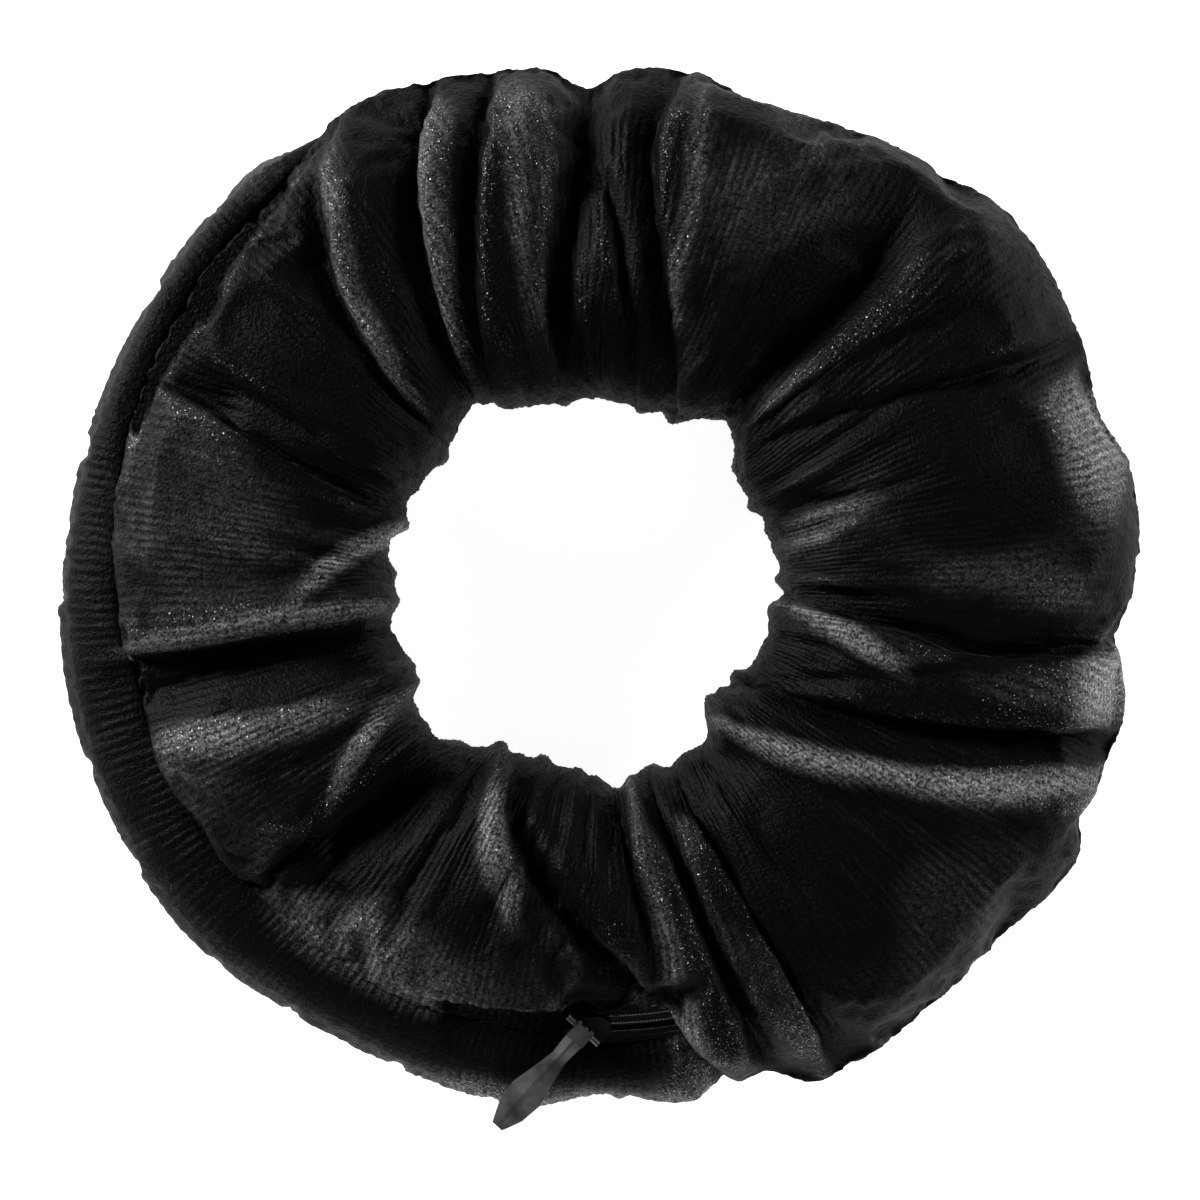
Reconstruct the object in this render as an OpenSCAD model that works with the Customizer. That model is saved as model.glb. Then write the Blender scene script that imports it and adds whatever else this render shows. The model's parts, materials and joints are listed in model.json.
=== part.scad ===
// Zip-pocket scrunchie: a gathered velvet tube on an elastic loop, with an
// invisible zipper let into its upper outer edge.
// Units are millimetres. +Z is the axis of the loop, and the origin is the centre
// of the hair opening, halfway up the elastic.

/* [Ring] */
// Radius of the hair opening with the elastic relaxed
hole_r = 29.5; // [26:0.5:33]
// Outer radius of the ring
ring_r = 80; // [80:0.5:84]
// Height of the top of the ring above the middle of the elastic
top_z = 14; // [13:0.5:17]
// Depth of the underside below the middle of the elastic
base_depth = 13; // [12:0.5:16]
// Thickness of the velvet with its pile
cloth_t = 1.2; // [1:0.1:1.3]

/* [Elastic] */
// Width of the elastic band
elastic_w = 7; // [5:0.5:8]
// Thickness of the elastic band
elastic_t = 1; // [0.8:0.1:1.2]
// Angle over which the ends of the band lie on each other
elastic_lap = 22; // [16:1:30]

/* [Zipper] */
// Radius of the zipper's arc
zip_r = 71.5; // [71:0.1:71.8]
// How far the arc's centre lies behind the ring's centre
zip_shift = 5; // [4.5:0.1:5.5]
// Angle of the lower end of the zipper, at its bottom stop
zip_far_a = 142; // [141:1:146]
// Angle of the closed end of the zipper, at its top stops
zip_near_a = 281; // [280:1:284]
// Angle at which the slider stands
slider_a = 268; // [262:1:270]
// Height of the ledge that the zipper is let into
ledge_z = 9; // [8.8:0.1:9.2]
// Width of the gap between the two velvet lips
slot_w = 4.4; // [4.2:0.1:4.6]
// Thickness of the zipper tape
tape_t = 0.5; // [0.4:0.1:0.5]
// Width of each zipper tape
tape_w = 9; // [7:0.5:10]
// Distance between neighbouring turns of a coil
coil_pitch = 1.5; // [1.4:0.1:2]

/* [Slider and pull] */
// Length of the slider
slider_len = 9; // [8:0.5:9]
// Length of the pull from its hinge to its tip
pull_len = 19.2; // [17:0.2:21]
// Greatest width of the pull
pull_w = 5.4; // [5:0.1:5.6]
// Width of the pull at its hooded head
pull_head_w = 3; // [2.9:0.1:3.2]
// Width of the pull's neck
neck_w = 2.5; // [2.3:0.1:2.8]
// Width of the pull's blunt tip
tip_w = 2.6; // [2:0.1:3]
// Thickness of the pull
pull_t = 1.3; // [1.2:0.1:1.4]
// Length of the crossbar
crossbar_len = 6.2; // [5.6:0.2:6.2]
// Angle from the zipper line to the pull
pull_a = 50; // [45:1:52]

/* [Hidden] */
$fn = 48;

base_z = -base_depth;
// Corner radii of the ring's section
inner_top_r = 8;
inner_base_r = 7;
outer_top_r = 8;
outer_base_r = 10;

// Angular reach of the ledge past the zipper's ends, long enough at the far end for
// the pull to lie flat there, and of the slot
ledge_far_a = zip_far_a - 14;
ledge_near_a = zip_near_a + 3;
slot_margin_a = 1.4;
step_r = zip_r - 3.5;
past = 30;

// Heights of the zipper's layers, from the ledge down
tape_top_z = ledge_z - cloth_t;
coil_top_z = tape_top_z - tape_t;
coil_h = 1.4;
coil_w = 2.2;
coil_gap = 0.8;
coil_wall = 0.45;
stop_len_a = 1.2;
tape_reach_r = ring_r - cloth_t - 0.6;

// Seam allowance where the strip's long edges are sewn to each other
allowance_w = 6;
allowance_z = 1;
allowance_a0 = ledge_near_a + 1;
allowance_a1 = 360 + ledge_far_a - 3;
thread_r = 0.2;
stitch_len = 2.4;
stitch_pitch = 3.2;
end_seam_a = 290;

// Slider and pull
post_w = 0.6;
plate_w = 3.6;
plate_top_z = tape_top_z + 0.9;
kingpin_r = 0.43;
hub_r = 0.8;
running = 0.05;
hinge_z = ledge_z + 1.3;
hub_h = 1;
crossbar_r = 0.5;
ear_r = 1;
fork_gap = 1.7;
fork_depth = 1.7;
black_thread = [0.05, 0.05, 0.06];

// Centre of the rounding at each corner of the ring's section, with its radius
function section_corners() = [
    [hole_r + inner_base_r, base_z + inner_base_r, inner_base_r],
    [hole_r + inner_top_r, top_z - inner_top_r, inner_top_r],
    [ring_r - outer_top_r, top_z - outer_top_r, outer_top_r],
    [ring_r - outer_base_r, base_z + outer_base_r, outer_base_r]
];

// Section through the ring, drawn in from its surface by inset
module ring_section(inset) {
    c = section_corners();
    for (p = c)
        translate([p[0], p[1]]) circle(r = p[2] - inset);
    polygon([
        [c[0][0], base_z + inset], [hole_r + inset, c[0][1]],
        [hole_r + inset, c[1][1]], [c[1][0], top_z - inset],
        [c[2][0], top_z - inset], [ring_r - inset, c[2][1]],
        [ring_r - inset, c[3][1]], [c[3][0], base_z + inset]
    ]);
}

// Part of a flat ring about the ring's own axis
module ring_sector(r0, r1, z0, z1, a0, a1) {
    rotate([0, 0, a0])
        rotate_extrude(angle = a1 - a0)
            translate([r0, z0]) square([r1 - r0, z1 - z0]);
}

// The same about the axis of the zipper's arc
module zip_sector(r0, r1, z0, z1, a0, a1) {
    translate([0, zip_shift, 0]) ring_sector(r0, r1, z0, z1, a0, a1);
}

// Frame on the zipper line: X runs towards the closed part, Y points outwards
module on_zip(a) {
    translate([0, zip_shift, 0]) rotate([0, 0, a - 90]) translate([0, zip_r, 0]) children();
}

// Cloth drawn in by inset, with the ledge for the zipper
module ledged_ring(inset) {
    widen_a = inset / zip_r * 180 / PI;
    difference() {
        rotate_extrude() ring_section(inset);
        zip_sector(step_r - inset, zip_r + past, ledge_z - inset, top_z + past,
            ledge_far_a - widen_a, ledge_near_a + widen_a);
    }
}

module velvet_cover() {
    color([0.04, 0.04, 0.045]) {
        difference() {
            ledged_ring(0);
            ledged_ring(cloth_t);
            zip_sector(zip_r - slot_w / 2, zip_r + slot_w / 2, tape_top_z - 1, ledge_z + 1,
                zip_far_a - slot_margin_a, zip_near_a + slot_margin_a);
        }
        // two plies of seam allowance, turned in where there is no zipper
        ring_sector(ring_r - cloth_t - allowance_w, ring_r - cloth_t / 2,
            allowance_z - cloth_t, allowance_z + cloth_t,
            allowance_a0, allowance_a1);
    }
}

// The relaxed loop lies a little to one side of the opening, inside the gathers
elastic_r = hole_r + 5;
elastic_shift = [-2, -0.5, 0];
elastic_a = 60;
ply_gap = 0.05;
lap_r = elastic_r + elastic_t + ply_gap;
module elastic_band() {
    color([0.9, 0.9, 0.88]) translate(elastic_shift) {
        rotate_extrude()
            translate([elastic_r, -elastic_w / 2]) square([elastic_t, elastic_w]);
        // the end that laps over the start
        ring_sector(lap_r, lap_r + elastic_t, -elastic_w / 2, elastic_w / 2,
            elastic_a, elastic_a + elastic_lap);
    }
}

// Zigzag that holds the lapped ends of the elastic, in two rows
module elastic_join_stitches() {
    rows = [0.25, 0.75];
    legs = 5;
    leg_h = (elastic_w - 1) / legs;
    lean = 28;
    for (row = rows, i = [0 : legs - 1])
        translate(elastic_shift) rotate([0, 0, elastic_a + elastic_lap * row])
            translate([lap_r + elastic_t + thread_r, 0,
                (i + 0.5) * leg_h - (elastic_w - 1) / 2])
                rotate([i % 2 == 0 ? lean : -lean, 0, 0])
                    color(black_thread)
                        cylinder(r = thread_r, h = leg_h * 0.8, center = true, $fn = 16);
}

// A row of stitches on an arc of radius r about the origin, at height z
module stitch_row(r, z, a0, a1) {
    step_a = stitch_pitch / r * 180 / PI;
    count = floor((a1 - a0) / step_a);
    for (i = [0 : count - 1])
        rotate([0, 0, a0 + (i + 0.5) * step_a])
            translate([r, 0, z]) rotate([90, 0, 0])
                color(black_thread)
                    cylinder(r = thread_r, h = stitch_len, center = true, $fn = 16);
}

module long_seam_stitches() {
    stitch_row(ring_r - cloth_t - 5, allowance_z + cloth_t + thread_r,
        allowance_a0 + 1, allowance_a1 - 1);
}

// The join where one end of the tube is tucked into the other, sewn inside the
// top and the underside
module end_seam_stitches() {
    for (z = [top_z - cloth_t - thread_r, base_z + cloth_t + thread_r])
        for (r = [hole_r + inner_top_r + 2 : stitch_pitch : ring_r - outer_base_r - 4])
            rotate([0, 0, end_seam_a]) translate([r, 0, z]) rotate([0, 90, 0])
                color(black_thread)
                    cylinder(r = thread_r, h = stitch_len, $fn = 16);
}

// Tape on the inner side of the zipper line, flat under the top of the ring
module zipper_tape_inner() {
    color([0.03, 0.03, 0.03])
        zip_sector(zip_r - tape_w, zip_r - coil_gap / 2, coil_top_z, tape_top_z,
            zip_far_a - 1, zip_near_a + 1);
}

// Tape on the outer side: a flat length near the bottom stop, and the rest folded
// down the ring's outer wall where there is room
module zipper_tape_outer() {
    flat_w = 4.95;
    fold_a = zip_far_a + 18;
    drop = tape_w - flat_w;
    near = coil_gap / 2;
    color([0.03, 0.03, 0.03]) {
        intersection() {
            zip_sector(zip_r + near, zip_r + flat_w, coil_top_z, tape_top_z,
                zip_far_a - 1, fold_a - 0.05);
            cylinder(r = tape_reach_r, h = top_z, $fn = 96);
        }
        translate([0, zip_shift, 0]) rotate([0, 0, fold_a])
            rotate_extrude(angle = zip_near_a + 1 - fold_a)
                translate([zip_r, coil_top_z])
                    polygon([[near, 0], [flat_w - tape_t, 0], [flat_w - tape_t, -drop],
                        [flat_w, -drop], [flat_w, tape_t], [near, tape_t]]);
    }
}

function zip_arc_a(length) = length / zip_r * 180 / PI;
coil_a0 = zip_far_a + stop_len_a + 0.2;
coil_a1 = zip_near_a - stop_len_a - 0.2;
turns = floor((coil_a1 - coil_a0) / zip_arc_a(coil_pitch));
function on_arc(r, a) = [r * cos(a), r * sin(a)];

// Outline of a coil seen from above: turns that flare to their heads, on a rail
module coil_outline(side) {
    rail_r = zip_r + side * (coil_gap / 2 + coil_w);
    root_r = rail_r - side * 0.45;
    head_r = zip_r + side * coil_gap / 2;
    half_root = zip_arc_a(0.3);
    half_head = zip_arc_a(0.42);
    pitch_a = zip_arc_a(coil_pitch);
    lag_a = side > 0 ? pitch_a / 2 : 0;
    start_a = coil_a0 + half_head + lag_a;
    last_a = start_a + (turns - 2) * pitch_a;
    teeth = [for (i = [0 : turns - 2]) let (a = start_a + i * pitch_a)
        each [on_arc(root_r, a - half_root), on_arc(head_r, a - half_head),
              on_arc(head_r, a + half_head), on_arc(root_r, a + half_root)]];
    back = [for (i = [0 : turns - 2]) on_arc(rail_r, last_a + half_head - i * pitch_a)];
    polygon(concat([on_arc(root_r, start_a - half_head)], teeth,
        [on_arc(root_r, last_a + half_head)], back, [on_arc(rail_r, start_a - half_head)]));
}

cord_margin = 0.5;
module zipper_coil(side) {
    near_r = zip_r + side * (coil_gap / 2 + cord_margin);
    far_r = zip_r + side * (coil_gap / 2 + coil_w - cord_margin);
    color([0.05, 0.05, 0.05])
        difference() {
            translate([0, zip_shift, coil_top_z - coil_h])
                linear_extrude(height = coil_h) coil_outline(side);
            zip_sector(min(near_r, far_r), max(near_r, far_r),
                coil_top_z - coil_h + coil_wall, coil_top_z - coil_wall,
                coil_a0 - 1, coil_a1 + 1);
        }
}

// The cord that runs down the inside of a coil
module coil_cord(side) {
    slack = 0.03;
    near_r = zip_r + side * (coil_gap / 2 + cord_margin + slack);
    far_r = zip_r + side * (coil_gap / 2 + coil_w - cord_margin - slack);
    color([0.08, 0.08, 0.08])
        zip_sector(min(near_r, far_r), max(near_r, far_r),
            coil_top_z - coil_h + coil_wall + slack, coil_top_z - coil_wall - slack,
            coil_a0 + 0.4, coil_a1 - 0.8);
}

// Stitches that hold a tape to its lip of the cover, clear of the slider's flanges
module zipper_stitches(side) {
    far_a = side > 0 ? zip_far_a + 6 : zip_far_a + 1;
    translate([0, zip_shift, 0])
        stitch_row(zip_r + side * 4.1, coil_top_z - thread_r, far_a, zip_near_a - 1);
}

// Moulded block that ends one coil
module top_stop(side) {
    r0 = zip_r + side * coil_gap / 2;
    r1 = zip_r + side * (coil_gap / 2 + coil_w + 0.3);
    color([0.06, 0.06, 0.06])
        zip_sector(min(r0, r1), max(r0, r1), coil_top_z - coil_h - 0.2, coil_top_z,
            zip_near_a - stop_len_a, zip_near_a);
}

module bottom_stop() {
    reach = coil_gap / 2 + coil_w + 0.3;
    color([0.06, 0.06, 0.06])
        zip_sector(zip_r - reach, zip_r + reach, coil_top_z - coil_h - 0.3, coil_top_z,
            zip_far_a, zip_far_a + stop_len_a);
}

// Square-cornered box between two heights, centred on the zipper line
module slider_block(x0, x1, half_w, z0, z1) {
    translate([x0, -half_w, z0]) cube([x1 - x0, 2 * half_w, z1 - z0]);
}

// Body that wraps both coils from below, with a post between them, a plate that
// rides in the slot and the kingpin that the pull turns on
module slider_body() {
    half_len = slider_len / 2;
    coil_reach = coil_gap / 2 + coil_w + 0.35;
    flange_t = 0.7;
    floor_z = coil_top_z - coil_h - 0.25;
    floor_t = 0.9;
    collar_top_z = hinge_z - hub_h / 2 - 0.1;
    color([0.16, 0.16, 0.17])
        on_zip(slider_a) {
            difference() {
                intersection() {
                    slider_block(-half_len, half_len, coil_reach + flange_t,
                        floor_z - floor_t, coil_top_z - 0.2);
                    translate([0, 0, floor_z - floor_t])
                        cylinder(r = half_len + 0.3, h = 9);
                }
                slider_block(-half_len - 1, half_len + 1, coil_reach, floor_z, coil_top_z);
            }
            slider_block(-3.2, -0.4, post_w / 2, floor_z - 0.1, tape_top_z + 0.3);
            translate([0, 0, tape_top_z + 0.15]) {
                h = plate_top_z - tape_top_z - 0.15;
                for (x = [-2.4, 2.4]) translate([x, 0, 0]) cylinder(r = plate_w / 2, h = h);
                translate([-2.4, -plate_w / 2, 0]) cube([4.8, plate_w, h]);
            }
            translate([0, 0, plate_top_z - 0.2])
                cylinder(r = hub_r, h = collar_top_z - plate_top_z + 0.2);
            translate([0, 0, plate_top_z - 0.2])
                cylinder(r = kingpin_r, h = hinge_z + hub_h / 2 + 0.05 - plate_top_z + 0.2);
        }
}

// Domed cap that keeps the crossbar on the kingpin
module slider_cap() {
    dome_r = 1;
    cap_z = hinge_z + hub_h / 2 + 0.05;
    color([0.16, 0.16, 0.17])
        on_zip(slider_a)
            intersection() {
                translate([0, 0, cap_z - 0.4]) sphere(r = dome_r);
                translate([0, 0, cap_z]) cylinder(r = hub_r, h = 2);
            }
}

// Frame of the pull: X runs along the pull, Y along the crossbar, at hinge height
module on_pull() {
    on_zip(slider_a) translate([0, 0, hinge_z]) rotate([0, 0, pull_a]) children();
}

module pull_crossbar() {
    color([0.18, 0.18, 0.19])
        on_pull()
            difference() {
                union() {
                    rotate([90, 0, 0]) cylinder(r = crossbar_r, h = crossbar_len, center = true);
                    cylinder(r = hub_r, h = hub_h, center = true);
                }
                cylinder(r = kingpin_r + running, h = 3, center = true);
            }
}

// Thin slice across the paddle: square edges, a flat back and a ridge along the top
module pull_slice(x, w, t) {
    edge_h = min(t, 0.6) / 2;
    translate([x, 0, 0]) rotate([90, 0, 90])
        linear_extrude(height = 0.02)
            polygon([[-w / 2, -edge_h], [-w * 0.32, -t / 2], [w * 0.32, -t / 2],
                [w / 2, -edge_h], [w / 2, edge_h], [w * 0.08, t / 2], [-w * 0.08, t / 2],
                [-w / 2, edge_h]]);
}

// Paddle past the head, as [share of the length, width, thickness] at each slice
module paddle() {
    slices = [
        [0.09, pull_head_w, pull_t], [0.28, neck_w, pull_t * 0.9],
        [0.48, pull_w * 0.72, pull_t], [0.66, pull_w, pull_t * 1.1],
        [0.84, pull_w * 0.84, pull_t], [0.96, tip_w, pull_t * 0.7],
        [0.998, tip_w * 0.72, 0.5]
    ];
    for (i = [0 : len(slices) - 2])
        hull() {
            pull_slice(slices[i][0] * pull_len, slices[i][1], slices[i][2]);
            pull_slice(slices[i + 1][0] * pull_len, slices[i + 1][1], slices[i + 1][2]);
        }
}

// Head: two ears on the crossbar under a hood that clears the slider's cap
module pull_head() {
    arm_w = (pull_head_w - fork_gap) / 2;
    hood_z = 1.25;
    hood_t = 0.4;
    back = 0.6;
    for (side = [-1, 1])
        translate([0, side * (fork_gap + arm_w) / 2, 0])
            difference() {
                union() {
                    rotate([90, 0, 0]) cylinder(r = ear_r, h = arm_w, center = true);
                    translate([0, -arm_w / 2, -pull_t / 2])
                        cube([fork_depth + 0.3, arm_w, pull_t]);
                    translate([-back, -arm_w / 2, 0.3])
                        cube([fork_depth + back + 0.3, arm_w, hood_z + hood_t - 0.3]);
                }
                rotate([90, 0, 0])
                    cylinder(r = crossbar_r + running, h = 3, center = true);
            }
    translate([-back, -pull_head_w / 2, hood_z])
        cube([fork_depth + back + 0.3, pull_head_w, hood_t]);
    translate([fork_depth, -pull_head_w / 2, 0])
        cube([0.3, pull_head_w, hood_z + 0.1]);
}

module pull_tab() {
    color([0.22, 0.22, 0.23])
        on_pull() {
            paddle();
            pull_head();
        }
}

velvet_cover();
elastic_band();
elastic_join_stitches();
long_seam_stitches();
end_seam_stitches();
zipper_tape_inner();
zipper_tape_outer();
zipper_coil(-1);  // zipper_coil_inner
zipper_coil(1);  // zipper_coil_outer
coil_cord(-1);  // coil_cord_inner
coil_cord(1);  // coil_cord_outer
zipper_stitches(-1);  // zipper_stitches_inner
zipper_stitches(1);  // zipper_stitches_outer
top_stop(-1);  // top_stop_inner
top_stop(1);  // top_stop_outer
bottom_stop();
slider_body();
slider_cap();
pull_crossbar();
pull_tab();
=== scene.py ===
import json
import math

import bmesh
import bpy
import numpy as np
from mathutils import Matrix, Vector


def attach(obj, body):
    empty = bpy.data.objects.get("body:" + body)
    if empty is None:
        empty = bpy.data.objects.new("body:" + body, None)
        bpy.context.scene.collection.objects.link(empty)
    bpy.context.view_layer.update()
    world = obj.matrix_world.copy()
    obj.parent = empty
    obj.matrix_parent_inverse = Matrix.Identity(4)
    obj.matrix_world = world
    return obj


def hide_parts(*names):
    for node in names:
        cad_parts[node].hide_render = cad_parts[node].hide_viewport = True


MM = 0.001

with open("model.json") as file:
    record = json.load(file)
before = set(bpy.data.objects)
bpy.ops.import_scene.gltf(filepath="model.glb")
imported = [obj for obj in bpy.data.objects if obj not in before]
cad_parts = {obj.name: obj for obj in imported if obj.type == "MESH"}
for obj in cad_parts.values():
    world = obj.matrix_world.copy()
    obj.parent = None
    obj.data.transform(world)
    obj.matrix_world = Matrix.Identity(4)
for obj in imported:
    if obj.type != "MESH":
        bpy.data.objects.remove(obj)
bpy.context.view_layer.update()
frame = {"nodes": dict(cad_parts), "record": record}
nodes = frame["nodes"]

# ---------------------------------------------------------------- driving sizes (mm, degrees)
# The zipper is an arc about a centre that lies behind the middle of the ring.
ZIP_R = 71.5
ZIP_SHIFT = 5.0
# Where the crossbar turns, at the two ends of the slider's travel, and the pull's reach from it
BAR, BAR_FAR = (-2.5, -66.45), (-60.6, 42.9)
PULL_REACH = 20.5
# Highest the fabric may stand under the pull, and where nothing swings over it
PULL_CLEAR_Z, FREE_Z = 9.05, 30.0
# Least height of the fabric over the tape, height of the underside, and of the plain top
LEDGE_Z, BASE_Z, CREST_Z = 9.4, -13.0, 14.5
# The elastic inside the opening: its radius, how far it lies off centre and to which side
ELASTIC_R, ELASTIC_OFF, ELASTIC_SIDE = 34.0, 2.06, 194
# Lips of the pocket: angles where they start to part, are open, start to close, are closed
MOUTH = (263, 269, 279, 283)

# How far the fabric puffs up over the top, and the heights of the pleats at the opening, the
# wrinkles, and the creases and gathers underneath
FULLNESS, PLEAT, WRINKLE, CREASE, GATHER = 2.2, 0.22, 0.16, 2.4, 0.9
# Unevenness of the pile
JITTER = 0.07

# Mesh of the strip: columns round the ring and rows across, coarse to settle and fine to show
COARSE = (300, 58)
AROUND, ACROSS = 880, 108
# Share of the rows that lie over the top, and where the opening's edge lies across the strip
TOP_SHARE = 0.62
OPENING = 5 / 13
# Ribs of the velvet, counted round the ring
RIBS = 340

# Outlines of the ring and of its opening, seen from above: (angle, radius)
OUTER = [
    (0, 80.4), (11, 82.0), (19, 80.2), (27, 81.2), (42, 83.0), (50, 80.8), (60, 78.6),
    (71, 76.6), (80, 78.8), (87, 78.0), (91.5, 75.6), (96, 78.4), (108, 80.8), (119, 82.2),
    (135, 81.0), (158, 79.8), (180, 80.8), (205, 81.0), (222, 80.6), (240, 78.0),
    (262, 78.6), (270, 76.6), (282, 79.0), (288, 77.6), (294, 82.0), (306, 81.0),
    (318, 80.6), (330, 83.0), (336, 80.0), (345, 81.6), (354, 78.6),
]
INNER = [
    (0, 27.2), (12, 27.0), (26, 26.0), (40, 26.6), (52, 31.2), (62, 27.8), (78, 27.2),
    (90, 28.8), (102, 28.0), (118, 31.0), (126, 33.0), (140, 30.6), (155, 31.6), (163, 30.8),
    (168, 32.8), (180, 31.4), (186, 32.4), (198, 31.4), (212, 34.0), (224, 33.4), (236, 29.6),
    (252, 28.0), (268, 29.0), (277, 31.6), (283, 28.2), (289, 29.4), (296, 28.4), (304, 28.6),
    (312, 24.2), (324, 23.8), (338, 26.6), (350, 26.2),
]


def ring_spline(points, angles):
    """Periodic smooth curve through (angle, radius) points."""
    a = np.array([p[0] for p in points], float)
    r = np.array([p[1] for p in points], float)
    a = np.concatenate([a[-2:] - 360, a, a[:3] + 360])
    r = np.concatenate([r[-2:], r, r[:3]])
    i = np.clip(np.searchsorted(a, angles, side="right") - 1, 1, len(a) - 3)
    h = a[i + 1] - a[i]
    t = (angles - a[i]) / h
    m0 = (r[i + 1] - r[i - 1]) / (a[i + 1] - a[i - 1]) * h
    m1 = (r[i + 2] - r[i]) / (a[i + 2] - a[i]) * h
    return (
        (2 * t**3 - 3 * t**2 + 1) * r[i] + (t**3 - 2 * t**2 + t) * m0
        + (3 * t**2 - 2 * t**3) * r[i + 1] + (t**3 - t**2) * m1
    )


def smooth(x, lo, hi):
    """Smooth step from 0 at lo to 1 at hi."""
    t = np.clip((x - lo) / (hi - lo), 0, 1)
    return t * t * (3 - 2 * t)


def between(x, lo, rise, fall, hi):
    """1 from rise to fall, fading out to 0 at lo and hi."""
    return smooth(x, lo, rise) * (1 - smooth(x, fall, hi))


def wave(angles, count, phase=0.0):
    """Sine with count waves round the ring, its phase in degrees."""
    return np.sin(np.radians(angles * count + phase))


def catmull(p0, p1, p2, p3, t):
    """Smooth curve from p1 to p2, for t from 0 to 1."""
    bend = 2 * p0 - 5 * p1 + 4 * p2 - p3
    twist = 3 * p1 - p0 - 3 * p2 + p3
    return 0.5 * (2 * p1 + (p2 - p0) * t + bend * t**2 + twist * t**3)


def turn(a, b):
    """Signed difference of two angles, in degrees."""
    return (a - b + 180) % 360 - 180


def zip_radius(angles):
    a = np.radians(angles)
    return ZIP_SHIFT * np.sin(a) + np.sqrt(ZIP_R**2 - (ZIP_SHIFT * np.cos(a)) ** 2)


# ---------------------------------------------------------------- section of the tube
def section(angles):
    """Control points of the section at each angle, from the inner lip of the zipper over the top,
    round the opening, under the ring and up to the outer lip: arrays (points, angles) of radius
    and height."""
    ri, ro = ring_spline(INNER, angles), ring_spline(OUTER, angles)
    rg = np.minimum(zip_radius(angles), ro - 3)
    w = between(angles, 115, 132, 279.5, 286.5)
    mouth = between(angles, *MOUTH)
    mid = (ri + ro) / 2
    rim_z = 6.2 + 1.5 * (1 - smooth(angles, 160, 174))
    gap = 0.25 + 1.3 * mouth
    zipped = [
        (rg - gap, 5.6), (rg - gap + 0.4 - 1.8 * mouth, 8.5 - 0.7 * mouth),
        (rg - 5.0 - 3.0 * mouth, 11.2 - 1.2 * mouth), (rg * 0.6 + ri * 0.4, 13.4),
        (ri + 6, 10.5), (ri, 0), (ri + 5, -9.5), (ri + 16, BASE_Z), (ro - 18, BASE_Z),
        (ro - 5, -9.5), (ro, -1.0), (ro - 0.9, rim_z), (rg + gap + 0.8 + 1.0 * mouth, 8.7),
        (rg + gap, 5.6),
    ]
    plain = [
        (ro - 1.4, 0.6), (ro - 0.2, 3.2), (ro - 9, 11.4), (mid + 2, CREST_Z),
        (ri + 6, 10.5), (ri, 0), (ri + 5, -9.5), (ri + 16, BASE_Z), (ro - 20, BASE_Z),
        (ro - 11, -11.5), (ro - 5, -8.5), (ro - 1.6, -4.5), (ro - 0.5, -1.8), (ro - 1.4, 0.4),
    ]
    r = np.array([z[0] * w + p[0] * (1 - w) for z, p in zip(zipped, plain)])
    z = np.array([z[1] * w + p[1] * (1 - w) for z, p in zip(zipped, plain)])
    return r, z


def across_spline(control, v):
    """Smooth open curve through the control points (first axis), sampled at v from 0 to 1."""
    n = len(control)
    before = 2 * control[:1] - control[1:2]
    after = 2 * control[-1:] - control[-2:-1]
    padded = np.concatenate([before, control, after])
    x = v * (n - 1)
    i = np.clip(x.astype(int), 0, n - 2)
    return catmull(padded[i], padded[i + 1], padded[i + 2], padded[i + 3], (x - i)[:, None])


# ---------------------------------------------------------------- folds
# Each valley runs outwards over the top. It has an angle at radius 30, 50 and 80, the radii it
# fades in and out at, a depth, and how far it spreads clockwise and counterclockwise of its
# line. A narrow side is the steep edge of a fold that laps over the valley.
VALLEYS = [
    ((22, 17, 12), 22, 52, 2.4, 4.0, 5.0),
    ((42, 33, 27), 20, 81, 3.8, 9.0, 3.0),
    ((47, 41, 34), 22, 72, 1.8, 3.0, 3.0),
    ((56, 50, 54), 22, 74, 7.0, 9.0, 13.0),
    ((68, 79, 81), 20, 79, 5.6, 2.2, 9.0),
    ((80, 87, 88), 20, 66, 2.6, 3.0, 3.0),
    ((101, 96, 91), 20, 77, 6.4, 5.0, 4.5),
    ((121, 111, 102), 24, 86, 5.0, 2.2, 6.0),
    ((125, 119, 109), 24, 86, 5.5, 2.2, 9.0),
    ((138, 134, 121), 24, 76, 4.4, 2.6, 12.0),
    ((151, 152, 150), 46, 68, 2.2, 1.6, 1.6),
    ((161, 158, 152), 24, 74, 4.6, 9.0, 2.4),
    ((176, 172, 170), 22, 48, 3.0, 3.0, 4.0),
    ((192, 190, 191), 24, 76, 6.4, 3.0, 9.0),
    ((226, 223, 220), 22, 70, 8.0, 4.0, 14.0),
    ((238, 267, 281), 36, 68, 5.0, 4.5, 3.4),
    ((274, 277, 283), 24, 60, 1.8, 2.4, 3.0),
    ((284, 286, 290), 18, 82, 5.5, 2.2, 3.6),
    ((291, 294, 296), 20, 86, 4.6, 2.0, 6.0),
    ((300, 303, 306), 20, 62, 1.8, 3.0, 3.0),
    ((329, 336, 343), 18, 83, 6.6, 7.5, 2.6),
    ((333, 345, 348), 20, 72, 2.2, 3.0, 3.0),
    ((354, 351, 354), 20, 80, 6.0, 2.6, 12.0),
]
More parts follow.
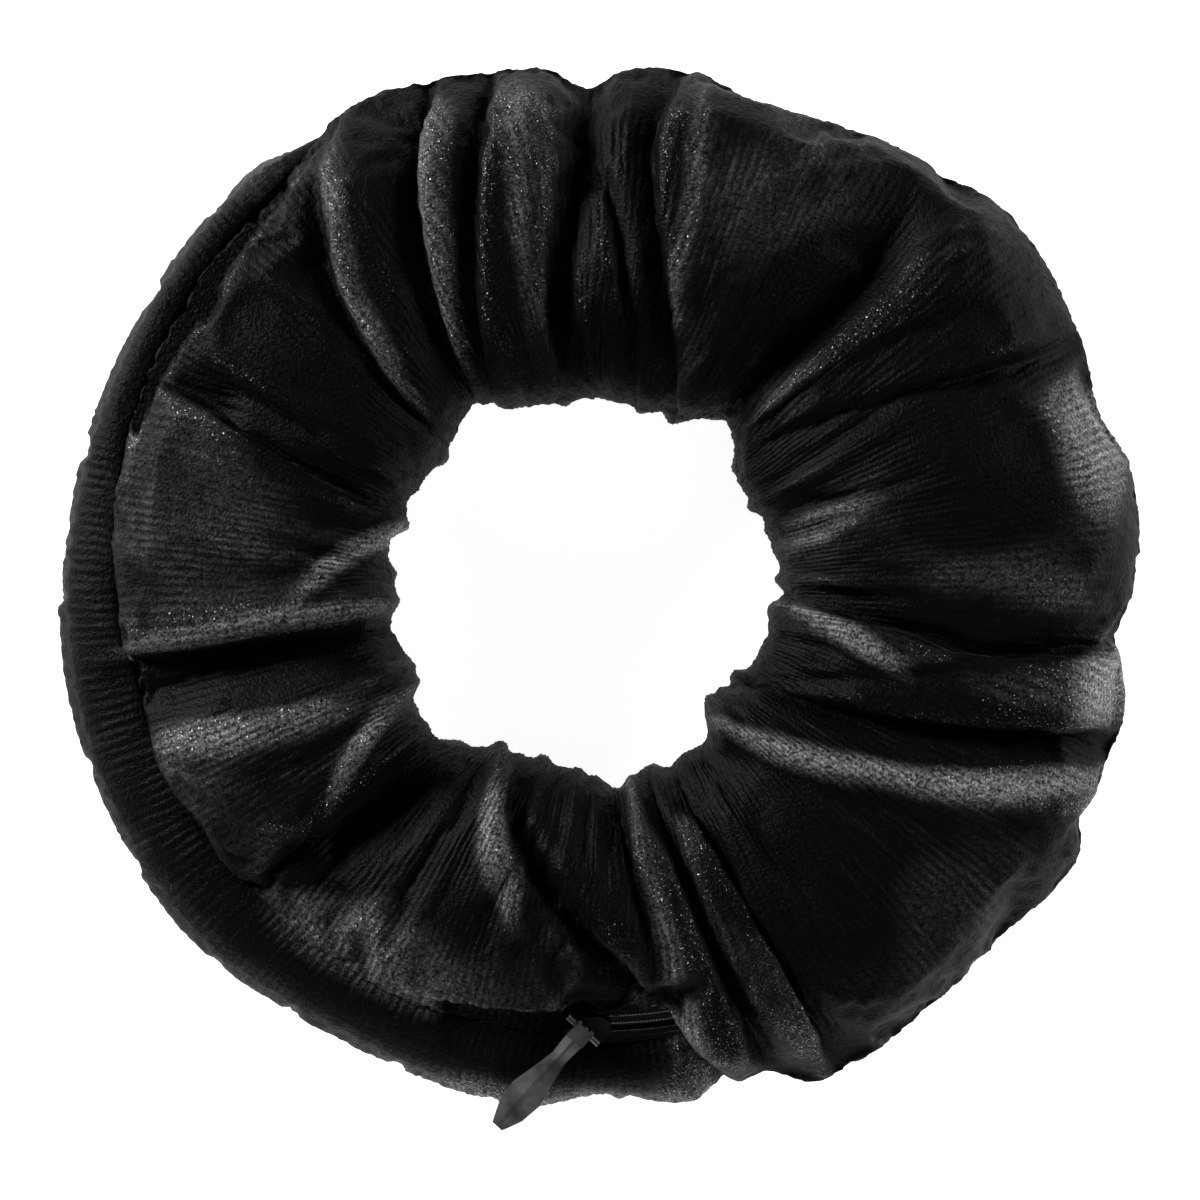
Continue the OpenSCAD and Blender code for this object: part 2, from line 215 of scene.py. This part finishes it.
# Each ridge is a rounded crest: its angles, radii, height and half width.
RIDGES = [
    ((5, 5, 5), 30, 84, 2.6, 18.0),
    ((49, 44, 43), 24, 82, 2.6, 4.0),
    ((70, 68, 70), 40, 84, 2.0, 14.0),
    ((150, 146, 140), 34, 74, 2.2, 14.0),
    ((184, 184, 186), 24, 74, 2.6, 3.4),
    ((160, 188, 210), 32, 48, 2.2, 3.0),
    ((206, 218, 236), 34, 56, 2.4, 3.0),
    ((206, 204, 200), 26, 74, 2.6, 6.0),
    ((239, 254, 266), 26, 58, 3.2, 4.6),
    ((244, 272, 286), 38, 72, 2.4, 4.0),
    ((278, 281, 288), 28, 84, 2.4, 2.8),
    ((313, 326, 338), 28, 88, 5.0, 4.2),
    ((353, 342, 330), 20, 52, 2.8, 3.0),
    ((310, 308, 312), 34, 84, 2.0, 16.0),
]


def fold_angle(angles3, radius):
    """Angle of a fold's line at each radius, a parabola through its three angles."""
    a, b, c = angles3
    b = a + turn(b, a)
    c = b + turn(c, b)
    x = np.clip((radius - 30) / 50, -0.3, 1.3)
    at = 0.4
    k = (b - a - (c - a) * at) / (at * at - at)
    return a + (c - a - k) * x + k * x * x


def valley_shape(d, left, right):
    """Share of a valley's depth at a signed distance, and how far the steep edge leans over it."""
    x = np.abs(d) / np.where(d < 0, left, right)
    dip = np.exp(-(x**1.35) * 1.4)
    narrow, side = (left, -1) if left < right else (right, 1)
    edge = np.exp(-(((d - side * narrow * 1.1) / (0.9 * narrow)) ** 2))
    return dip, -side * edge * np.clip(1.6 - narrow / 3, 0, 1)


def across_shares(rows):
    """Places across the strip from 0 to 1, closer together over the top than underneath."""
    half = round(rows * TOP_SHARE)
    top = np.linspace(0, OPENING, half, endpoint=False)
    return np.concatenate([top, np.linspace(OPENING, 1, rows - half)])


def outward(r, z, v, middle):
    """Outward direction of the section at each point, as radius and height."""
    dr = np.gradient(r, v, axis=0)
    dz = np.gradient(z, v, axis=0)
    length = np.maximum(np.hypot(dr, dz), 1e-6)
    nr, nz = -dz / length, dr / length
    sign = np.where(nz[middle] > 0, 1, -1)[None, :]
    return nr * sign, nz * sign


def laid_folds(r, th, top, lip):
    """How far the laid valleys and ridges lift the fabric, and slide it round the ring."""
    lift = np.zeros_like(r)
    slide = np.zeros_like(r)
    squeeze = np.clip((r - 14) / 40, 0.35, 1.15)
    for angles3, r0, r1, depth, left, right in VALLEYS:
        d = np.radians(turn(th, fold_angle(angles3, r))) * r / squeeze
        reach = between(r, r0 - 3, r0 + 4, r1 - 14, r1 + 2) * top * lip
        dip, over = valley_shape(d, left, right)
        lift -= depth * (0.4 + 0.6 * squeeze) * dip * reach
        slide += 1.8 * over * reach * squeeze
    for angles3, r0, r1, height, width in RIDGES:
        d = np.radians(turn(th, fold_angle(angles3, r))) * r / squeeze
        reach = between(r, r0 - 4, r0 + 6, r1 - 16, r1 + 2) * top * lip
        lift += height * np.exp(-((d / width) ** 2)) * reach
    return lift, slide


def wrinkles(lift, r, th, top):
    """Adds tight pleats round the opening, running on under the ring, and fine wrinkles. The
    elastic keeps the valleys shallow at the opening."""
    near = 1 - smooth(r, 30, 50)
    lift += PLEAT * near * (wave(th, 29, 50 * wave(th, 5)) + 0.7 * wave(th, 43, 30))
    for waves, phase, lean in ((31, 0.4, 0.05), (47, 2.1, -0.08), (59, 4.4, 0.11), (71, 1.2, -0.04)):
        sway = 1.5 * np.sin(np.radians(th * 7) + phase)
        wrinkle = np.sin(np.radians(th * waves) + phase + lean * r + sway)
        lift += WRINKLE * wrinkle * (1 - smooth(r, 40, 66)) * top
    shallow = 1 - 0.7 * (1 - smooth(r, 34, 44)) * smooth(r, 24, 30)
    return np.where(lift < 0, lift * shallow, lift)


def underside(r, z, th):
    """Broad creases and tight gathers under the ring."""
    wide = wave(th, 13, 60 * wave(th, 3, 20)) * smooth(r, 24, 40)
    tight = wave(th, 29, 40 * wave(th, 4, 70))
    gathers = tight * GATHER * (1 - smooth(r, 34, 54))
    return smooth(-z, -2, 8) * (np.minimum(wide, 0.2) * CREASE + gathers)


def hold_by_elastic(r, z, th):
    """The fabric lies inside the elastic at the opening."""
    band = ELASTIC_R + np.cos(np.radians(turn(th, ELASTIC_SIDE))) * ELASTIC_OFF
    at_band = np.abs(z) < 5.5
    inside = np.minimum(r, band - 0.4 + np.maximum(np.abs(z) - 3.8, 0) * 3)
    return np.where(at_band & (r < 44), inside, r)


def lay_on_tape(r, z, th, v):
    """The fabric lies over the tape beside the zipper, and dips beside the open mouth."""
    x, y = r * np.cos(np.radians(th)), r * np.sin(np.radians(th)) - ZIP_SHIFT
    beside = np.hypot(x, y)
    inner = v[:, None] < 0.3
    mouth = between(th, *MOUTH)
    tape = between(beside, 56, 62, 69.5 - 2 * mouth, 70.8 - 2 * mouth)
    tape = tape * between(th, 124, 130, 284, 289) * inner
    z = np.maximum(z, LEDGE_Z * tape + z * (1 - tape))
    return np.where(inner, z - np.maximum(z - 9.3, 0) * mouth * smooth(beside, 63.5, 67), z)


def cover_points(around, across):
    """The laid cover as a grid of points (across, around, 3), in millimetres."""
    angles = np.arange(around) * 360 / around
    v = across_shares(across)
    cr, cz = section(angles)
    r, z = across_spline(cr, v), across_spline(cz, v)
    th = np.broadcast_to(angles[None, :], r.shape)
    nr, nz = outward(r, z, v, round(across * TOP_SHARE) // 2)

    top = smooth(z, -6, 5)
    lip = between(v, 0.02, 0.13, 0.86, 0.97)[:, None]
    lift, slide = laid_folds(r, th, top, lip)
    lift += FULLNESS * top * lip * smooth(r, 30, 44) * (1 - smooth(r, 66, 80))
    lift = wrinkles(lift, r, th, top) + underside(r, z, th)
    r = r + nr * lift
    z = z + nz * lift
    z = np.where(z > 14, 14 + 0.5 * (z - 14), z)
    r = hold_by_elastic(r, z, th)
    z = lay_on_tape(r, z, th, v)
    z = np.maximum(z, BASE_Z + 0.1 * wave(th, 9))
    a = np.radians(th) + slide / np.maximum(r, 10)
    return np.stack([r * np.cos(a), r * np.sin(a), z], axis=-1)


def grid_mesh(name, points):
    """Mesh of quads over a grid of points (across, around), joined round the ring."""
    rows, cols = points.shape[:2]
    bm = bmesh.new()
    uv = bm.loops.layers.uv.new("cloth")
    row, col = bm.verts.layers.int.new("row"), bm.verts.layers.int.new("col")
    bmesh.ops.create_grid(bm, x_segments=cols, y_segments=rows - 1, size=1, calc_uvs=False)
    verts = sorted(bm.verts, key=lambda p: (round(p.co.y * (rows - 1)), p.co.x))
    at = {}
    for k, vert in enumerate(verts):
        j, i = divmod(k, cols + 1)
        at[vert.index] = (j / (rows - 1), i / cols)
        vert.co = Vector(points[j, i % cols] * MM)
        vert[row], vert[col] = j, i % cols
    for face in bm.faces:
        for loop in face.loops:
            v, u = at[loop.vert.index]
            loop[uv].uv = (u, v)
    bmesh.ops.remove_doubles(bm, verts=bm.verts, dist=1e-7)
    bmesh.ops.recalc_face_normals(bm, faces=bm.faces)
    mesh = bpy.data.meshes.new(name)
    bm.to_mesh(mesh)
    bm.free()
    for p in mesh.polygons:
        p.use_smooth = True
    obj = bpy.data.objects.new(name, mesh)
    bpy.context.scene.collection.objects.link(obj)
    return obj


def int_attribute(mesh, name):
    """Row or column of each vertex in the grid that it was made from."""
    out = np.zeros(len(mesh.vertices), dtype=np.int32)
    mesh.attributes[name].data.foreach_get("value", out)
    return out


def relax(points, frames=8, growth=0.04, reach=3.0):
    """Lets the cloth settle: it is grown a little between its pinned edges, so it buckles into
    folds of its own between the ones laid out, and no point moves further than reach (mm)."""
    rows, cols = points.shape[:2]
    obj = grid_mesh("settling", points)
    mesh = obj.data
    row, col = int_attribute(mesh, "row"), int_attribute(mesh, "col")
    share = across_shares(rows)[row]
    lips = np.maximum(1 - smooth(share, 0.02, 0.09), smooth(share, 0.78, 0.86))
    opening = 0.9 * (1 - smooth(np.abs(share - OPENING), 0.01, 0.05))
    under = between(share, 6.2 / 13, 7 / 13, 8 / 13, 9 / 13)
    hold = np.maximum(np.maximum(lips, opening), under)
    group = obj.vertex_groups.new(name="pin")
    for i, w in enumerate(hold):
        group.add([i], float(w), "REPLACE")
    cloth = obj.modifiers.new("cloth", "CLOTH")
    c = cloth.settings
    c.quality = 4
    c.mass = 0.25
    c.tension_stiffness = c.compression_stiffness = 20
    c.shear_stiffness = 8
    c.bending_stiffness = 3
    c.air_damping = 3
    c.vertex_group_mass = "pin"
    c.pin_stiffness = 6
    c.use_pressure = True
    c.uniform_pressure_force = 2
    c.shrink_min = -growth
    c.effector_weights.gravity = 0
    cloth.point_cache.frame_start = 1
    cloth.point_cache.frame_end = frames
    scene = bpy.context.scene
    for f in range(1, frames + 1):
        scene.frame_set(f)
    settled = obj.evaluated_get(bpy.context.evaluated_depsgraph_get()).to_mesh()
    co = np.zeros(len(mesh.vertices) * 3)
    settled.vertices.foreach_get("co", co)
    out = np.array(points)
    out[row, col] = co.reshape(-1, 3) / MM
    scene.frame_set(1)
    bpy.data.objects.remove(obj, do_unlink=True)
    move = out - points
    far = np.linalg.norm(move, axis=-1, keepdims=True)
    print("settled: mean move %.2f mm, most %.2f mm" % (far.mean(), far.max()))
    return points + move * np.minimum(1, reach / np.maximum(far, 1e-9))


def refine(points, around, across):
    """Smooth surface through a coarser grid of points, on a finer grid."""
    rows, cols = points.shape[:2]
    x = np.interp(across_shares(across), across_shares(rows), np.arange(rows)) / (rows - 1)
    tall = across_spline(points.reshape(rows, -1), x).reshape(across, cols, 3)
    wide = np.concatenate([tall[:, -2:], tall, tall[:, :3]], axis=1)
    pos = np.arange(around) * cols / around
    i = pos.astype(int)
    t = (pos - i)[None, :, None]
    return catmull(wide[:, i + 1], wide[:, i + 2], wide[:, i + 3], wide[:, i + 4], t)


# Tone of the pile, partly brushed lighter or darker and partly painted light on ridges and painted
# shade
# in valleys: angle, radius, half length round the ring, half width across it (mm), how much lighter or
# darker (+ or -), and degrees it leans per 10 mm out.
NAP_AND_PAINTED_LIGHT = [
    (171, 59, 16, 17, 0.4, 0), (148, 55, 11, 24, -1.0, -3), (131, 54, 3.2, 24, 0.6, -4),
    (124, 57, 4, 24, -0.7, -3), (116, 57, 2.4, 20, 0.5, -3), (108, 56, 4, 24, -0.8, -2),
    (103, 56, 2.2, 20, 0.5, -2), (86, 56, 8, 24, -1.3, -0.5), (77, 56, 2, 20, 0.7, 0.6),
    (64, 64, 13, 13, 0.3, 0), (52, 54, 8, 10, -1.3, 0), (46, 50, 1.8, 14, 0.2, -2),
    (36, 66, 13, 13, -0.5, 0), (16, 76, 11, 6, 1.9, 0), (30, 52, 9, 14, -0.4, 0),
    (17, 37, 3.2, 9, 0.7, 4.4), (12, 58, 7, 12, -0.5, 0), (359, 60, 6, 14, 0.6, 0),
    (354, 58, 5, 18, -0.7, -1), (348, 38, 2.2, 10, 1.4, -5), (349, 77, 7, 6, 2.0, 0),
    (336, 52, 6, 28, -1.1, 2.2), (320, 40, 2.8, 11, 1.3, 7), (333, 65, 3.2, 17, 1.6, 4.3),
    (303, 52, 10, 20, -0.7, 0), (318, 72, 15, 10, 0.3, 0), (285, 62, 3, 24, -0.5, 1),
    (280, 56, 2.5, 22, 0.7, 1), (270, 42, 7, 13, -0.9, 3), (273, 58, 2.2, 11, 0.7, 8),
    (265, 50, 2.6, 12, -0.8, 10), (248, 42, 3.0, 10, 1.2, 8), (239, 38, 3, 8, -0.6, 0),
    (238, 65, 22, 8, 0.75, 0), (227, 49, 8, 14, -1.6, -2), (214.5, 43.5, 2, 9, 1.4, 6),
    (203, 54, 3.2, 15, 1.0, -2), (204, 65, 9, 8, 0.3, 0), (193.5, 54, 5.5, 18, -1.3, 0),
    (187, 54, 2, 20, 1.2, 0.6), (172, 37, 2.4, 8, 1.5, 13), (176, 78, 30, 4, -0.2, 0),
    (264, 78, 24, 3.5, 0.8, 0), (232, 79, 36, 3, 0.3, 0), (214, 73.5, 34, 3, -0.4, 0),
    (252, 72, 26, 3, -0.6, 0),
]


def pull_clearance(points):
    """Highest the fabric may stand at each point, so that the pull swings clear of it."""
    x, y = points[..., 0], points[..., 1]
    th = np.degrees(np.arctan2(y, x)) % 360
    beside = np.hypot(x, y - ZIP_SHIFT)
    highest = np.full_like(x, FREE_Z)
    before_tail = 1 - smooth(th, *MOUTH[2:])
    for bx, by in (BAR, BAR_FAR):
        d = np.hypot(x - bx, y - by)
        outside = smooth(beside - 0.12 * d, 67.2, 68.4)
        swept = outside * (1 - smooth(d, PULL_REACH, 30)) * before_tail
        swept = np.maximum(swept, 1 - smooth(d, 4.0, 6.0))
        highest = np.minimum(highest, FREE_Z - (FREE_Z - PULL_CLEAR_Z) * swept)
    return highest


def blur(z, reach):
    """Mean over the neighbours round the ring within reach columns."""
    return sum(np.roll(z, k, axis=1) for k in range(-reach, reach + 1)) / (2 * reach + 1)


def shading(points):
    """Lie of the brushed pile, with painted light on the ridges and painted shade in the valleys, and
    sharpness of the crests at each point.
    """
    x, y, z = points[..., 0], points[..., 1], points[..., 2]
    r, th = np.hypot(x, y), np.degrees(np.arctan2(y, x))
    nap_and_painted_light = np.zeros_like(z)
    for angle, radius, along, across, value, lean in NAP_AND_PAINTED_LIGHT:
        d = np.radians(turn(th, angle + lean * (r - radius) / 10)) * r
        nap_and_painted_light += value * np.exp(-(((d / along) ** 2 + ((r - radius) / across) ** 2) ** 2))
    # the brushed pile and its painted light and shade stop short of the underside
    nap_and_painted_light *= smooth(z, -10, -5)
    broad, fine = z - blur(z, 16), blur(z, 1) - blur(z, 6)
    crest = np.clip(0.35 * broad + 1.1 * fine, -1, 1)
    return nap_and_painted_light, crest


def add_attribute(obj, name, values):
    """Stores a grid of values on the mesh that was made from the same grid."""
    mesh = obj.data
    row, col = int_attribute(mesh, "row"), int_attribute(mesh, "col")
    mesh.attributes.new(name, "FLOAT", "POINT")
    mesh.attributes[name].data.foreach_set("value", values[row, col].astype(np.float32))


coarse = cover_points(*COARSE)
coarse = relax(coarse)
fine_points = refine(coarse, AROUND, ACROSS)
fine_points += np.random.default_rng(5).normal(0, JITTER, fine_points.shape)
fine_points[..., 2] = np.clip(fine_points[..., 2], BASE_Z + 0.02, pull_clearance(fine_points))
cover = grid_mesh("velvet_looks", fine_points)
# the brushed pile with painted light on ridges and painted shade in valleys, and the crests, go on the
# mesh for the velvet's colour
nap_and_painted_light_values, crest_values = shading(fine_points)
add_attribute(cover, "nap_and_painted_light", nap_and_painted_light_values)
add_attribute(cover, "crest", crest_values)


# ---------------------------------------------------------------- materials
def new_material(name):
    """New material, with its nodes, links and Principled shader."""
    m = bpy.data.materials.new(name)
    m.use_nodes = True
    return m, m.node_tree.nodes, m.node_tree.links, m.node_tree.nodes["Principled BSDF"]


def maths(n, l, operation, a, b=None, c=None, clamp=False):
    """Result of a math node on up to three numbers or outputs."""
    made = n.new("ShaderNodeMath")
    made.operation = operation
    made.use_clamp = clamp
    for i, value in enumerate((a, b, c)):
        if value is None:
            continue
        if hasattr(value, "links"):
            l.new(value, made.inputs[i])
        else:
            made.inputs[i].default_value = value
    return made.outputs[0]


def relief(n, l, height, target, strength, distance):
    """Feeds a height through a bump node to the target, its distance in metres."""
    bump = n.new("ShaderNodeBump")
    bump.inputs["Strength"].default_value = strength
    bump.inputs["Distance"].default_value = distance
    l.new(height, bump.inputs["Height"])
    l.new(bump.outputs["Normal"], target)


def tint(n, l, channels, target):
    """Feeds three channels to a colour socket."""
    made = n.new("ShaderNodeCombineColor")
    for value, socket in zip(channels, made.inputs):
        l.new(value, socket)
    l.new(made.outputs[0], target)


def velvet_material():
    """Ribbed velvet whose pile lies lighter and darker, partly brushed and partly painted light and
    shade on the folds, with single hairs that glint.
    """
    m, n, l, bsdf = new_material("velvet")
    bsdf.inputs["Roughness"].default_value = 0.55
    bsdf.inputs["Sheen Weight"].default_value = 0.014
    bsdf.inputs["Sheen Roughness"].default_value = 0.3
    bsdf.inputs["Specular IOR Level"].default_value = 0.06
    bsdf.inputs["Coat Roughness"].default_value = 0.15
    uv = n.new("ShaderNodeUVMap")
    uv.uv_map = "cloth"
    sep = n.new("ShaderNodeSeparateXYZ")
    l.new(uv.outputs["UV"], sep.inputs[0])
    coord = n.new("ShaderNodeTexCoord")
    place = coord.outputs["Object"]

    def noise_at(scale, detail=2.0):
        tex = n.new("ShaderNodeTexNoise")
        tex.inputs["Scale"].default_value = scale
        tex.inputs["Detail"].default_value = detail
        l.new(place, tex.inputs["Vector"])
        return tex.outputs["Fac"]

    def attribute(name):
        made = n.new("ShaderNodeAttribute")
        made.attribute_name = name
        return made.outputs["Fac"]

    drift = noise_at(60)
    pile = noise_at(2600, 3)
    glint = noise_at(3200, 2)
    facet = noise_at(1900, 1)
    patch = noise_at(140, 2)
    brushed = noise_at(70, 4)
    # brushed pile with painted light on ridges and painted shade in valleys, read from the mesh
    nap_and_painted_light = attribute("nap_and_painted_light")
    crest = attribute("crest")
    # ribs across the strip, which wander and fade in and out
    wander = maths(n, l, "MULTIPLY", drift, 12.0)
    rib = maths(n, l, "SINE", maths(n, l, "MULTIPLY_ADD", sep.outputs["X"], 2 * math.pi * RIBS, wander))
    rib_depth = maths(n, l, "MULTIPLY_ADD", patch, 2.4, -0.75, clamp=True)
    ribs = maths(n, l, "MULTIPLY", rib, rib_depth)
    tuft = noise_at(1300, 2)
    height = maths(n, l, "MULTIPLY_ADD", pile, 0.5, maths(n, l, "MULTIPLY", ribs, 0.35))
    height = maths(n, l, "MULTIPLY_ADD", tuft, 0.8, height)
    relief(n, l, height, bsdf.inputs["Normal"], 0.7, 0.00035)
    # tone of the pile: the listed patches, partly brushed pile and partly painted light on ridges and
    # painted shade in valleys, brushed noise, and a painted highlight on the crests of the folds with
    # painted shade in their hollows
    pile_and_painted_light = maths(n, l, "MULTIPLY_ADD", nap_and_painted_light, 1.5, maths(n, l, "MULTIPLY_ADD", brushed, 1.4, -0.58))
    pile_and_painted_light = maths(n, l, "MULTIPLY_ADD", crest, 0.7, pile_and_painted_light)
    pile_and_painted_light = maths(n, l, "MAXIMUM", pile_and_painted_light, 0.0)
    pile_and_painted_light = maths(n, l, "POWER", pile_and_painted_light, 1.6)
    grain = maths(n, l, "MULTIPLY_ADD", tuft, 3.0, maths(n, l, "MULTIPLY_ADD", pile, 4.0, -2.5))
    grain = maths(n, l, "MAXIMUM", grain, 0.15)
    line = maths(n, l, "MULTIPLY_ADD", ribs, 0.7, 1.0)
    tone = maths(n, l, "MULTIPLY", maths(n, l, "MULTIPLY", pile_and_painted_light, line), grain)
    tone = maths(n, l, "MULTIPLY_ADD", tone, 0.023, 0.0006)
    bluish = maths(n, l, "ADD", tone, 0.0006)
    tint(n, l, (tone, tone, bluish), bsdf.inputs["Base Color"])
    # hairs that glint, only on the crests and where the pile is brushed or painted light
    lit = maths(n, l, "MULTIPLY_ADD", pile_and_painted_light, 1.0, -0.8)
    sharp = maths(n, l, "MULTIPLY_ADD", crest, 1.5, lit, clamp=True)
    spark = maths(n, l, "MULTIPLY_ADD", glint, 14.0, -7.45, clamp=True)
    l.new(maths(n, l, "MULTIPLY", spark, sharp), bsdf.inputs["Coat Weight"])
    relief(n, l, facet, bsdf.inputs["Coat Normal"], 1.0, 0.0005)
    return m


def grain_group():
    """Node group with fine grain for the relief and broad wear for the tone, both from 0 to 1."""
    tree = bpy.data.node_groups.new("grain and wear", "ShaderNodeTree")
    tree.interface.new_socket(name="Place", in_out="INPUT", socket_type="NodeSocketVector")
    for name in ("Grain", "Wear"):
        tree.interface.new_socket(name=name + " Scale", in_out="INPUT", socket_type="NodeSocketFloat")
        tree.interface.new_socket(name=name, in_out="OUTPUT", socket_type="NodeSocketFloat")
    start, end = tree.nodes.new("NodeGroupInput"), tree.nodes.new("NodeGroupOutput")
    for name, detail in (("Grain", 2), ("Wear", 4)):
        tex = tree.nodes.new("ShaderNodeTexNoise")
        tex.inputs["Detail"].default_value = detail
        tree.links.new(start.outputs["Place"], tex.inputs["Vector"])
        tree.links.new(start.outputs[name + " Scale"], tex.inputs["Scale"])
        tree.links.new(tex.outputs["Fac"], end.inputs[name])
    return tree


GRAIN = grain_group()


def plain_material(name, colour, rough, metal=0.0):
    """Thread, rubber, nylon or metal: a colour with fine grain and slightly uneven wear."""
    m, n, l, bsdf = new_material(name)
    coord = n.new("ShaderNodeTexCoord")
    pattern = n.new("ShaderNodeGroup")
    pattern.node_tree = GRAIN
    pattern.inputs["Grain Scale"].default_value = 1500
    pattern.inputs["Wear Scale"].default_value = 260
    l.new(coord.outputs["Object"], pattern.inputs["Place"])
    relief(n, l, pattern.outputs["Grain"], bsdf.inputs["Normal"], 0.3, 0.00005)
    wear = pattern.outputs["Wear"]
    shade = maths(n, l, "MULTIPLY_ADD", wear, 1.6, 0.2)
    tint(n, l, [maths(n, l, "MULTIPLY", shade, c) for c in colour], bsdf.inputs["Base Color"])
    l.new(maths(n, l, "MULTIPLY_ADD", wear, 0.3, rough - 0.15), bsdf.inputs["Roughness"])
    bsdf.inputs["Metallic"].default_value = metal
    return m


def tape_material():
    """Woven tape: cords running along the zipper, which curves about its own centre, with a painted
    sheen on the cords.
    """
    m, n, l, bsdf = new_material("zipper tape")
    bsdf.inputs["Roughness"].default_value = 0.4
    coord = n.new("ShaderNodeTexCoord")
    sep = n.new("ShaderNodeSeparateXYZ")
    l.new(coord.outputs["Object"], sep.inputs[0])
    y = maths(n, l, "SUBTRACT", sep.outputs["Y"], ZIP_SHIFT * MM)
    x = sep.outputs["X"]
    square = maths(n, l, "MULTIPLY_ADD", x, x, maths(n, l, "MULTIPLY", y, y))
    spacing = 0.0011
    turns = maths(n, l, "MULTIPLY", maths(n, l, "SQRT", square), 2 * math.pi / spacing)
    cords = maths(n, l, "SINE", turns)
    line = maths(n, l, "POWER", maths(n, l, "MULTIPLY_ADD", cords, 0.5, 0.5), 5.0)
    angle = maths(n, l, "ARCTAN2", y, x)
    weft = maths(n, l, "SINE", maths(n, l, "MULTIPLY", angle, 900.0))
    line = maths(n, l, "MULTIPLY", line, maths(n, l, "MULTIPLY_ADD", weft, 0.25, 0.75))
    relief(n, l, line, bsdf.inputs["Normal"], 0.6, 0.0002)
    # the cords are painted lighter than the tape between them, a painted sheen along the cords
    tone = maths(n, l, "MULTIPLY_ADD", line, 0.06, 0.002)
    tint(n, l, (tone, tone, tone), bsdf.inputs["Base Color"])
    return m


cover.data.materials.append(velvet_material())
looks = {
    "elastic": plain_material("elastic", (0.75, 0.74, 0.7), 0.8),
    "thread": plain_material("thread", (0.015, 0.015, 0.017), 0.6),
    "zipper_tape": tape_material(),
    "zipper_coil": plain_material("zipper coil", (0.02, 0.02, 0.021), 0.22),
    "coil_cord": plain_material("coil cord", (0.02, 0.02, 0.022), 0.8),
    "zipper_stop": plain_material("zipper stop", (0.012, 0.012, 0.013), 0.35),
    "slider_metal": plain_material("slider metal", (0.06, 0.06, 0.062), 0.4, 1.0),
    "pull_metal": plain_material("pull metal", (0.31, 0.31, 0.32), 0.34, 1.0),
}
for part in frame["record"]["subparts"]:
    name, slot_name = part["node"], part["material_slot"]
    if slot_name in looks:
        nodes[name].data.materials.clear()
        nodes[name].data.materials.append(looks[slot_name])

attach(cover, "loop")
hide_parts("velvet_cover")

# ---------------------------------------------------------------- stage
scene = bpy.context.scene
bpy.ops.mesh.primitive_plane_add(size=4, location=(0, 0, BASE_Z * MM - 0.0002))
floor = bpy.context.object
floor.name = "floor"
paper, _, _, surface = new_material("paper")
surface.inputs["Base Color"].default_value = (0.9, 0.9, 0.9, 1)
surface.inputs["Roughness"].default_value = 0.9
surface.inputs["Emission Color"].default_value = (1, 1, 1, 1)
surface.inputs["Emission Strength"].default_value = 0.95
floor.data.materials.append(paper)


def area_light(name, place, power):
    """Soft square light that points at the middle of the ring."""
    data = bpy.data.lights.new(name, "AREA")
    data.size = 0.3
    data.energy = power
    obj = bpy.data.objects.new(name, data)
    obj.location = place
    obj.rotation_euler = (-Vector(place)).to_track_quat("-Z", "Y").to_euler()
    scene.collection.objects.link(obj)


area_light("key", (-0.8, 0.5, 0.32), 19)
area_light("fill", (0.9, 0.25, 0.3), 6)
area_light("front", (0.1, -0.9, 0.4), 2.5)
world = bpy.data.worlds.new("room")
world.use_nodes = True
background = world.node_tree.nodes["Background"]
background.inputs["Color"].default_value = (1, 1, 1, 1)
background.inputs["Strength"].default_value = 0.06
scene.world = world

# The camera looks straight down and frames a square of the view's width at the crests' height.
VIEW_WIDTH, LENS, SENSOR = 0.18, 85, 36
VIEW_HEIGHT = 0.008
camera_data = bpy.data.cameras.new("camera")
camera_data.lens = LENS
camera_data.sensor_width = SENSOR
camera = bpy.data.objects.new("camera", camera_data)
camera.location = (0, -0.00225, VIEW_WIDTH * LENS / SENSOR + VIEW_HEIGHT)
scene.collection.objects.link(camera)
scene.camera = camera
scene.view_settings.view_transform = "Standard"
